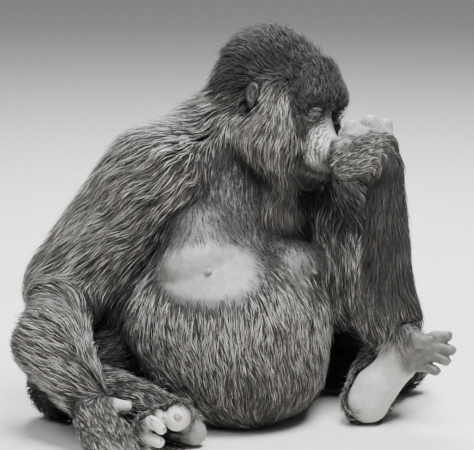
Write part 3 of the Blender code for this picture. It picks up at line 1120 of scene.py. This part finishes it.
def lies() -> list:
    """The lie of the coat on every part of the body."""
    right, left = Side.RIGHT, Side.LEFT
    made = []

    def add(name: str, *rows: tuple, axes: Axes = BODY) -> None:
        """Add lies to one piece of coat, from rows of their values in order."""
        made.extend(Lie(name, *row, axes=axes) for row in rows)

    def along(start: tuple, end: tuple) -> tuple:
        """The direction from one point to another."""
        return tuple(unit(np.array(end) - np.array(start)))

    elbow, shaded_crook = ELBOW[right], (-0.325, 0.0, 0.24)
    hand = WRIST[right], (-0.4, -0.3, 0.055)
    fold = (-0.395, -0.005, 0.235)
    add(
        "arm_right",
        (SHOULDER[right], elbow, 0.085, (-0.8, 0.1, -0.55), 0.092, 0.03, 0.0046, 0.0018, 0.92),
        (elbow, elbow, 0.07, (-0.6, 0.05, -0.8), 0.125, 0.036, 0.0044, 0.0019, 0.62),
        # a dark tone in the crook of the right elbow: painted shade under the hanging hair of the upper arm
        (shaded_crook, shaded_crook, 0.042, (-0.5, 0.05, -0.9), 0.08, 0.022, 0.0044, 0.0019, 0.12),
        (fold, FOREARM_BEND, 0.056, (-0.45, 0.6, 0.1), 0.065, 0.022, 0.0044, 0.0018, 0.8),
        (FOREARM_BEND, WRIST[right], 0.045, (-0.6, 0.6, 0.25), 0.06, 0.022, 0.004, 0.0017, 0.95),
        (*hand, 0.03, (0.1, -0.8, -0.3), 0.03, 0.009, 0.0032, 0.0014, 0.9),
    )
    wrist, elbow = WRIST[left], ELBOW[left]
    knuckle = (0.15, -0.195, 0.56), (0.17, -0.2, 0.57)
    fist = (0.19, -0.2, 0.56), (0.22, -0.19, 0.56)
    add(
        "arm_left",
        (SHOULDER[left], elbow, 0.062, (0.1, -0.3, -0.9), 0.06, 0.02, 0.0044, 0.0018, 0.75),
        (wrist, elbow, 0.04, along(wrist, elbow), 0.062, 0.015, 0.0038, 0.0016, 0.45),
        (*knuckle, 0.026, (0.9, -0.1, 0.25), 0.022, 0.005, 0.0026, 0.001, 0.8),
        # the hair of the left wrist is given a dark tone: painted shade under the fist
        (wrist, wrist, 0.036, (-0.5, -0.1, -0.6), 0.04, 0.011, 0.0034, 0.0014, 0.1),
        (*fist, 0.026, (0.9, -0.1, 0.25), 0.02, 0.005, 0.0026, 0.001, 0.9),
    )
    spine = (-0.03, 0.12, 0.2), (-0.01, 0.1, 0.45)
    blade = (-0.12, 0.06, 0.49), (0.02, 0.09, 0.53)
    add(
        "back",
        (*spine, 0.15, (0.0, 0.2, -1.0), 0.058, 0.026, 0.006, 0.0024, 0.45),
        (*blade, 0.09, (-0.8, 0.3, -0.45), 0.078, 0.034, 0.0048, 0.002, 1.15),
        (PELVIS, PELVIS, 0.14, (0.0, 0.3, -1.0), 0.055, 0.022, 0.006, 0.0024, 0.45),
    )
    chest = (-0.03, -0.04, 0.38), (0.03, -0.02, 0.46)
    middle = (-0.05, -0.06, 0.24), (-0.05, -0.08, 0.2)
    under = (-0.045, -0.12, 0.112), (-0.045, -0.12, 0.08)
    add(
        "belly",
        # the hair of the upper chest is given a dark tone: painted shade under the beard and jaw
        (*chest, 0.15, (0.0, -0.2, -1.0), 0.018, 0.005, 0.0038, 0.0009, 0.12),
        (*middle, 0.185, (0, -0.4, -1.0), 0.052, 0.019, 0.0042, 0.0016, 1.45),
        (*under, 0.165, (0, -0.3, -1.0), 0.052, 0.019, 0.0042, 0.0016, 0.55, 0.3),
    )
    for side in Side:
        hip, knee, ankle = HIP[side], KNEE[side], ANKLE[side]
        add(
            "legs",
            # the thighs' hair is given a dark tone: painted shade where the flank, arm and thigh meet
            (hip, knee, 0.075, along(hip, knee), 0.052, 0.022, 0.005, 0.002, 0.28),
            (knee, ankle, 0.045, along(knee, ankle), 0.042, 0.018, 0.0042, 0.0017, 0.75),
        )
    crown = (0, 0.03, 0.04), (0, -0.06, 0.05)
    throat = (0.03, -0.03, 0.49), (0.065, -0.03, 0.55)
    crest = (0, -0.085, 0.075), (0, -0.1, 0.03)
    nape = (0, -0.09, 0.02), (0, -0.09, -0.06)
    add("head", (*crown, 0.08, (0, -1.0, 0.35), 0.036, 0.021, 0.0035, 0.0016, 0.07, 0.8), axes=HEAD)
    add("head", (*throat, 0.062, (0, -0.2, -1.0), 0.03, 0.009, 0.0036, 0.0015, 0.16))
    add(
        "head",
        (*crest, 0.047, (0, -1.0, -0.15), 0.062, 0.04, 0.0038, 0.0017, 0.5, 0.8),
        (*nape, 0.07, (0, -0.7, -1.0), 0.078, 0.04, 0.0042, 0.0017, 0.85, 0.7),
        axes=HEAD,
    )
    for sign in (-1, 1):
        cheek = (sign * 0.055, 0.045, 0.0), (sign * 0.055, 0.045, -0.08)
        way = (sign * 0.05, 0.05, -1.0)
        add("head", (*cheek, 0.042, way, 0.05, 0.023, 0.0032, 0.0015, 1.05, 0.35), axes=HEAD)
    beard = (0.045, 0.06, -0.11), (0.032, 0.092, -0.18)
    chin = (0, 0.03, -0.13), (0, 0.05, -0.125)
    brow = (-0.05, 0.106, 0.034), (0.05, 0.106, 0.034)
    lip = (0, 0.1, -0.135), (0, 0.11, -0.13)
    add(
        "head",
        (*beard, 0.036, (-0.02, 0.12, -1.0), 0.08, 0.02, 0.0032, 0.0015, 0.62, 0.1),
        (*chin, 0.06, (0.02, 0.1, -1.0), 0.055, 0.022, 0.0034, 0.0016, 0.28, 0.2),
        (*brow, 0.022, (0, -0.5, 0.8), 0.024, 0.011, 0.0026, 0.0012, 0.25, 0.2),
        (*lip, 0.028, (0, 0.3, -1.0), 0.022, 0.008, 0.003, 0.0013, 0.25),
        axes=HEAD,
    )
    neck = NECK, NECK_TOP
    add("back", (*neck, 0.095, (-0.5, 0.3, -0.8), 0.085, 0.04, 0.0046, 0.002, 0.95))
    return made


@dataclass
class Coat:
    """Tufts over the whole skin.

    Args:
        skin: the skin with its forms.
        mesh: the skin's mesh.
        lies: the lie of the coat on each part.
        segments: lengths in one tuft.
        most: triangles in one piece, at most.
        lock: hairs in one lock.
        lock_reach: how far from its lock's root a hair may stand.
        clump: how far a lock is drawn together at its tip.
        strays: share of the hairs that stand out.
        patch: size of one tuft on the flat layout.
        sway: how far hairs turn from the lie.
        lengths: lowest and highest share of the lie's length.
        heights: the same of the lie's depth.
        widths: the same of the lie's width.
        lock_tones: the same of the lie's tone, for a lock.
        tuft_tones: the same of the lock's tone, for a tuft.
        waves: direction, length and swing of each wave in the lie.
        chance: where the random numbers come from.
    """

    skin: Skin
    mesh: bpy.types.Mesh
    lies: list
    segments: int = 3
    most: int = 190_000
    lock: int = 9
    lock_reach: float = 0.02
    clump: float = 0.38
    strays: float = 0.06
    patch: float = 0.003
    sway: float = 0.15
    lengths: tuple = (0.7, 1.15)
    heights: tuple = (0.45, 1.0)
    widths: tuple = (0.6, 1.2)
    lock_tones: tuple = (0.65, 1.3)
    tuft_tones: tuple = (0.4, 1.55)
    waves: tuple = (
        ((0.8, 0.3, 0.5), 0.083, 0.16),
        ((-0.4, 0.9, 0.2), 0.051, 0.12),
        ((0.1, -0.5, 0.85), 0.117, 0.16),
    )
    chance: np.random.Generator = field(default_factory=lambda: np.random.default_rng(SEED))

    def settings(self, points: np.ndarray) -> dict:
        """Blend the lies at points.

        Args:
            points: places on the skin.

        Returns:
            Flow, length, depth, spacing, width and tone of the hair, and the ruling lie.
        """
        names = ("length", "depth", "spacing", "width", "tone")
        total = np.zeros(len(points))
        flow = np.zeros((len(points), 3))
        sums = {name: np.zeros(len(points)) for name in names}
        best = np.zeros(len(points))
        ruler = np.zeros(len(points), int)
        for number, lie in enumerate(self.lies):
            gap, off = lie.away(points)
            weight = lie.weight(gap)
            total += weight
            way = unit(lie.axes.swing(lie.flow)) + lie.spread * off
            flow += weight[:, None] * way
            for name in names:
                sums[name] += weight * getattr(lie, name)
            ruler = np.where(weight > best, number, ruler)
            best = np.maximum(best, weight)
        made = {name: sums[name] / total for name in names}
        made["flow"] = flow / total[:, None]
        made["ruler"] = ruler
        return made

    def roots(self) -> tuple:
        """Places of the roots, spread over the skin.

        Returns:
            The roots, and the skin's outward directions there.
        """
        self.mesh.calc_loop_triangles()
        corners = np.empty(len(self.mesh.loop_triangles) * 3, np.int32)
        self.mesh.loop_triangles.foreach_get("vertices", corners)
        spots = (points_of(self.mesh) - self.skin.shift)[corners.reshape(-1, 3)]
        cross = np.cross(spots[:, 1] - spots[:, 0], spots[:, 2] - spots[:, 0])
        area = np.linalg.norm(cross, axis=1) / 2
        middle = spots.mean(axis=1)
        spacing = self.settings(middle)["spacing"]
        wanted = area / np.square(spacing) * (1.0 - bareness(middle))
        wanted *= middle[:, 2] > self.skin.anatomy.floor + ROOT_LIFT
        count = np.floor(wanted + self.chance.random(len(wanted))).astype(int)
        pick = np.repeat(np.arange(len(count)), count)
        mix = self.chance.dirichlet((1, 1, 1), len(pick))
        roots = (spots[pick] * mix[:, :, None]).sum(axis=1)
        return roots, slope(self.skin.distance, roots, COAT_STEP)

    def grow(self, roots: np.ndarray, out: np.ndarray) -> tuple:
        """Lay the hairs along the skin.

        Args:
            roots: places of the roots.
            out: outward directions at the roots.

        Returns:
            The points along each hair, and the settings at the roots.
        """
        facts = self.settings(roots)
        count = len(roots)
        length = facts["length"] * self.chance.uniform(*self.lengths, count)
        top = facts["depth"] * self.chance.uniform(*self.heights, count)
        stray = self.chance.normal(0.0, self.sway, count)
        wild = self.chance.random(count) < self.strays
        top = np.where(wild, top * 1.5, top)
        stray = np.where(wild, stray * 2.5, stray)
        path = [roots - out * 0.001]
        spot = path[0]
        for k in range(1, self.segments + 1):
            flow = self.settings(spot)["flow"] if k > 1 else facts["flow"]
            flow = unit(flow - (flow * out).sum(axis=1, keepdims=True) * out)
            turn = stray + self.ripple(spot) * np.minimum(length / 0.05, 1.0)
            flow = unit(flow + turn[:, None] * np.cross(out, flow))
            spot = spot + flow * (length / self.segments)[:, None]
            height = self.skin.distance(spot)
            out = slope(self.skin.distance, spot, COAT_STEP)
            wanted = top * math.sqrt(k / self.segments)
            spot = spot + out * (np.clip(wanted - height, -0.02, 0.02) * 0.9)[:, None]
            path.append(spot)
        return np.stack(path, axis=1), facts

    def ripple(self, points: np.ndarray) -> np.ndarray:
        """Slow waves in the lie of the coat, as sideways shares of its direction."""
        total = np.zeros(len(points))
        for way, wavelength, swing in self.waves:
            total += swing * np.sin(points @ np.array(way) * (2 * math.pi / wavelength))
        return total

    def unwrap(self, points: np.ndarray, ruler: np.ndarray) -> np.ndarray:
        """Places of the roots on a flat layout of the skin, one round tile for each bone.

        Args:
            points: the roots.
            ruler: number of the bone that rules each root.

        Returns:
            Two coordinates for each root.
        """
        row = math.ceil(math.sqrt(len(self.lies)))
        flat = np.zeros((len(points), 2))
        for number, lie in enumerate(self.lies):
            mine = ruler == number
            start, end = lie.axes.outward(lie.start), lie.axes.outward(lie.end)
            run = end - start if np.linalg.norm(end - start) > 0.01 else np.array((0.0, 0.0, 1.0))
            frame = np.array(Vector(run).to_track_quat("Z", "Y").to_matrix())
            local = (points[mine] - (start + end) / 2) @ frame
            turn = np.arctan2(local[:, 1], local[:, 0]) / (2 * math.pi) + 0.5
            reach = 2.5 * lie.girth + np.linalg.norm(end - start) / 2
            rise = np.clip(local[:, 2] / reach, -1.0, 1.0) / 2 + 0.5
            flat[mine, 0] = (number % row + 0.04 + 0.9 * turn) / row
            flat[mine, 1] = (number // row + 0.04 + 0.9 * rise) / row
        return flat

    def gather(self, path: np.ndarray) -> tuple:
        """Draw neighbouring hairs together into locks.

        Args:
            path: the points along each hair.

        Returns:
            The drawn paths, and the number of each hair's lock.
        """
        seeds = self.chance.choice(len(path), len(path) // self.lock, replace=False)
        tree = kdtree.KDTree(len(seeds))
        for number, seed in enumerate(seeds):
            tree.insert(path[seed, 0], number)
        tree.balance()
        near = np.array([seeds[tree.find(root)[1]] for root in path[:, 0]])
        middle = path[near]
        part = np.linspace(0.0, 1.0, path.shape[1]) ** 1.3 * self.clump
        offset = path - middle
        close = np.linalg.norm(offset[:, 0], axis=1) < self.lock_reach
        pull = part[None, :, None] * close[:, None, None]
        return path - offset * pull, near

    def tubes(self, path: np.ndarray, out: np.ndarray, width: np.ndarray) -> tuple:
        """Three-sided tapered tufts round the hairs.

        Args:
            path: the points along each hair.
            out: outward directions at the roots.
            width: width of each tuft at its root.

        Returns:
            The points and the triangles.
        """
        count, rings = len(path), self.segments
        along = unit(np.gradient(path, axis=1))
        side = unit(np.cross(along, out[:, None, :]))
        lift = np.cross(side, along)
        taper = 1.0 - 0.75 * (np.arange(rings) / rings) ** 1.5
        twist = self.chance.uniform(0, 2 * math.pi, count)
        spots = np.empty((count, rings * 3 + 1, 3))
        for corner in range(3):
            angle = twist + corner * 2 * math.pi / 3
            way = np.cos(angle)[:, None, None] * side + 0.6 * np.sin(angle)[:, None, None] * lift
            size = (width[:, None] * taper)[:, :, None] * 0.5
            spots[:, corner : rings * 3 : 3] = path[:, :rings] + way[:, :rings] * size
        spots[:, -1] = path[:, -1]
        faces = [(0, 2, 1)]
        for ring in range(rings - 1):
            for a in range(3):
                b = (a + 1) % 3
                low, high = ring * 3, ring * 3 + 3
                faces.append((low + a, low + b, high + b))
                faces.append((low + a, high + b, high + a))
        last = (rings - 1) * 3
        for a in range(3):
            faces.append((last + a, last + (a + 1) % 3, rings * 3))
        one = np.array(faces)
        each = np.arange(count)[:, None, None] * (rings * 3 + 1)
        return spots.reshape(-1, 3), (one[None] + each).reshape(-1, 3)

    def build(self) -> list:
        """Make the pieces of coat.

        Returns:
            The pieces.
        """
        roots, out = self.roots()
        path, facts = self.grow(roots, out)
        path, lock = self.gather(path)
        facts["tone"] = facts["tone"] * self.chance.uniform(*self.lock_tones, len(path))[lock]
        path[:, :, 2] = np.maximum(path[:, :, 2], self.skin.anatomy.floor + TIP_LIFT)
        names = np.array([lie.name for lie in self.lies])[facts["ruler"]]
        flat = self.unwrap(roots, facts["ruler"])
        finish = CoatFinish().material()
        each = self.segments * 6 - 2
        made = []
        for name in sorted(set(names)):
            chosen = np.flatnonzero(names == name)
            pieces = -(-len(chosen) * each // self.most)
            for number, part in enumerate(np.array_split(chosen, pieces)):
                label = f"coat_{name}_{number + 1}"
                made.append(self.piece(label, path[part], out[part], flat[part], facts, part, finish))
        return made

    def piece(
        self,
        name: str,
        path: np.ndarray,
        out: np.ndarray,
        flat: np.ndarray,
        facts: dict,
        part: np.ndarray,
        finish: bpy.types.Material,
    ) -> bpy.types.Object:
        """One piece of coat from some of the hairs.

        Args:
            name: name of the piece.
            path: the points along each hair.
            out: outward directions at the roots.
            flat: places of the roots on the flat layout.
            facts: settings of all the hairs.
            part: numbers of these hairs.
            finish: the material.

        Returns:
            The piece.
        """
        width = facts["width"][part] * self.chance.uniform(*self.widths, len(part))
        spots, faces = self.tubes(path, out, width)
        obj = add_object(name, spots + self.skin.shift, faces)
        rings = self.segments
        along = np.append(np.repeat(np.arange(rings) / rings, 3), 1.0)
        pale = facts["tone"][part] * self.chance.uniform(*self.tuft_tones, len(part))
        add_values(obj.data, "along", np.tile(along, len(part)))
        add_values(obj.data, "tone", np.repeat(pale, rings * 3 + 1))
        across = np.append(np.tile((-0.5, 0.0, 0.5), rings), 0.0)
        steps = np.stack((across, along - 0.5), axis=1) * self.patch
        spots_flat = (flat[:, None, :] + steps[None]).reshape(-1, 2)
        layout = obj.data.uv_layers.new(name="OFBake")
        layout.data.foreach_set("uv", spots_flat[faces.ravel()].astype(np.float32).ravel())
        obj.data.materials.append(finish)
        LOG.info("%s: %d tufts, %d triangles", name, len(part), len(faces))
        return obj


# ---------------------------------------------------------------- nails
# Centre and half widths of a nail, and the size of its quads, as shares of its digit's radius.
NAIL_SHAPE = ((0, 0.46, 0.6), (0.48, 0.52, 0.34))
NAIL_GRAIN = 0.12
NAIL_REACH = 0.045


@dataclass
class Nails:
    """Short dark nails on the toes and on the fingers that show.

    Args:
        shift: from the skeleton's own place to the frame.
    """

    shift: np.ndarray

    def digits(self) -> list:
        """Tip, direction, back direction and radius of each digit."""
        up, away = (0.0, -0.2, 1.0), (0.3, 0.9, 0.3)
        rows = [
            ((-0.262, -0.322, 0.078), (-0.5, -0.8, -0.1), (0.1, -0.7, 0.7), 0.021),
            ((-0.286, -0.312, 0.08), (0.1, -0.9, -0.2), up, 0.01),
            ((-0.301, -0.343, 0.07), (0.5, -0.8, -0.5), up, 0.0108),
            ((-0.305, -0.34, 0.043), (0.5, -0.8, -0.1), up, 0.0117),
            ((-0.319, -0.334, 0.015), (0.4, -0.9, -0.1), up, 0.0112),
            ((0.267, -0.361, 0.195), (0.8, -0.6, -0.1), (0.3, 0.3, 0.9), 0.0145),
            ((0.325, -0.342, 0.196), (0.7, -0.6, 0.2), away, 0.0119),
            ((0.33, -0.351, 0.168), (0.7, -0.7, -0.2), away, 0.0115),
            ((0.321, -0.347, 0.146), (0.6, -0.7, -0.3), away, 0.011),
            ((0.304, -0.335, 0.123), (0.6, -0.7, -0.3), away, 0.0106),
            ((-0.342, -0.259, 0.099), (0.9, -0.2, -0.1), up, 0.0105),
        ]
        for tip in (
            (-0.362, -0.332, 0.024),
            (-0.384, -0.348, 0.02),
            (-0.405, -0.356, 0.016),
            (-0.424, -0.354, 0.011),
        ):
            rows.append((tip, (0.1, -0.8, -0.5), (0.0, -0.5, 0.85), 0.014))
        return rows

    def build(self) -> bpy.types.Object:
        """Make the nails as one piece."""
        spots, faces = [], []
        count = 0
        for tip, way, back, radius in self.digits():
            axes = Axes.along(tip, way, back)
            form = Form(axes=axes)
            form.lobe(*(tuple(part * radius for part in row) for row in NAIL_SHAPE))
            place = np.array(tip)
            box = tuple(place - NAIL_REACH), tuple(place + NAIL_REACH)
            points, quads = Shell(form, *box, NAIL_GRAIN * radius).build()
            spots.append(points)
            faces.append(quads + count)
            count += len(points)
        nails = add_object("nails", np.concatenate(spots) + self.shift, np.concatenate(faces))
        nails.data.materials.append(PlainFinish("nail", (0.17, 0.16, 0.15), 0.3).material())
        return nails


# ---------------------------------------------------------------- eyes
EYE_REACH = 0.02
EYE_GRAIN = 0.0012


@dataclass
class Eye:
    """One dark, wet eyeball.

    Args:
        side: the side it is on.
        shift: from the skeleton's own place to the frame.
        radius: its radius.
    """

    side: Side
    shift: np.ndarray
    radius: float = EYE_RADIUS

    def build(self) -> bpy.types.Object:
        """Make the eyeball."""
        x = EYE_X if self.side is Side.RIGHT else -EYE_X
        place = HEAD.outward((x, EYE_Y + EYE_OUT, EYE_Z)) + self.shift
        ball = Form()
        ball.lobe(tuple(place), (self.radius,) * 3)
        box = tuple(place - EYE_REACH), tuple(place + EYE_REACH)
        points, quads = Shell(ball, *box, EYE_GRAIN).build()
        obj = add_object(f"eyeball_{self.side.value}", points, quads)
        obj.data.materials.append(PlainFinish("eye", (0.012, 0.007, 0.004), 0.12, 0.8).material())
        return obj


# ---------------------------------------------------------------- studio
SENSOR = 36.0
LIGHT_DISTANCE = 2.8
LIGHT_SIZE = 1.4
FLOOR_SPAN = 12.0


@dataclass
class Studio:
    """Camera, lights and floor.

    Args:
        target: the point that camera and lights look at.
        azimuth: turn of the camera round it, in degrees from the front.
        elevation: rise of the camera, in degrees.
        distance: how far away the camera stands.
        view: width of the view at the target.
    """

    target: np.ndarray
    azimuth: float = -22.0
    elevation: float = 13.0
    distance: float = 6.0
    view: float = 0.9954

    def toward(self, azimuth: float, elevation: float, distance: float) -> Vector:
        """A place round the target."""
        turn, lift = math.radians(azimuth), math.radians(elevation)
        way = Vector((math.sin(turn) * math.cos(lift), -math.cos(turn) * math.cos(lift), math.sin(lift)))
        return Vector(self.target) + way * distance

    def place(self, name: str, data: bpy.types.ID, *spot: float) -> bpy.types.Object:
        """Place a camera or light so that it looks at the target.

        Args:
            name: name of the object.
            data: the camera or light.
            spot: its azimuth, elevation and distance.

        Returns:
            The object.
        """
        made = bpy.data.objects.new(name, data)
        bpy.context.scene.collection.objects.link(made)
        made.location = self.toward(*spot)
        made.rotation_euler = (Vector(self.target) - made.location).to_track_quat("-Z", "Y").to_euler()
        return made

    def camera(self) -> None:
        """Make the camera."""
        data = bpy.data.cameras.new("camera")
        data.sensor_width = SENSOR
        data.lens = SENSOR * self.distance / self.view
        bpy.context.scene.camera = self.place("camera", data, self.azimuth, self.elevation, self.distance)

    def light(self, name: str, azimuth: float, elevation: float, power: float) -> None:
        """Make one soft light that looks at the target."""
        data = bpy.data.lights.new(name, "AREA")
        data.size = LIGHT_SIZE
        data.energy = power
        self.place(name, data, azimuth, elevation, LIGHT_DISTANCE)

    def build(self) -> None:
        """Make the floor, the world and the lights."""
        corners = ((-1, -1, 0), (1, -1, 0), (1, 1, 0), (-1, 1, 0))
        points = FLOOR_SPAN * np.array(corners, float)
        floor = add_object("floor", points, np.array(((0, 1, 2, 3),)))
        floor.data.materials.append(PlainFinish("floor", (0.62, 0.61, 0.59), 0.8).material())
        world = bpy.data.worlds.new("studio")
        bpy.context.scene.world = world
        world.use_nodes = True
        background = world.node_tree.nodes["Background"]
        background.inputs["Color"].default_value = (0.92, 0.94, 0.96, 1.0)
        background.inputs["Strength"].default_value = 0.2
        self.light("top", 6.0, 66.0, 280.0)
        self.light("key", -52.0, 42.0, 48.0)
        self.light("rim", 155.0, 52.0, 250.0)


def main() -> None:
    """Build the looks in order and report each piece."""
    logging.basicConfig(level=logging.INFO)
    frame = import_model()
    low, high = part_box("eye_right")
    eye_place = HEAD.outward((EYE_X, EYE_Y, EYE_Z))
    shift = (np.array(low) + np.array(high)) / 2 - eye_place
    anatomy = Anatomy(floor=float(-shift[2]))
    studio = Studio(target=np.array((0.0, 0.0, 0.385)) + shift)
    studio.camera()
    studio.build()
    eyes = {side: Eye(side, shift).build() for side in Side}
    skin = Skin(anatomy, shift)
    body = skin.build()
    coat = Coat(skin, body.data, lies()).build()
    nails = Nails(shift).build()
    for side, eye in eyes.items():
        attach(eye, "root")
        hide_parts(f"eye_{side.value}")
    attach(body, "root")
    flesh = [name for name in frame["nodes"] if not name.startswith("eye_")]
    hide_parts(*flesh)
    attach(nails, "root")
    for piece in coat:
        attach(piece, "root")


if __name__ == "__main__":
    main()
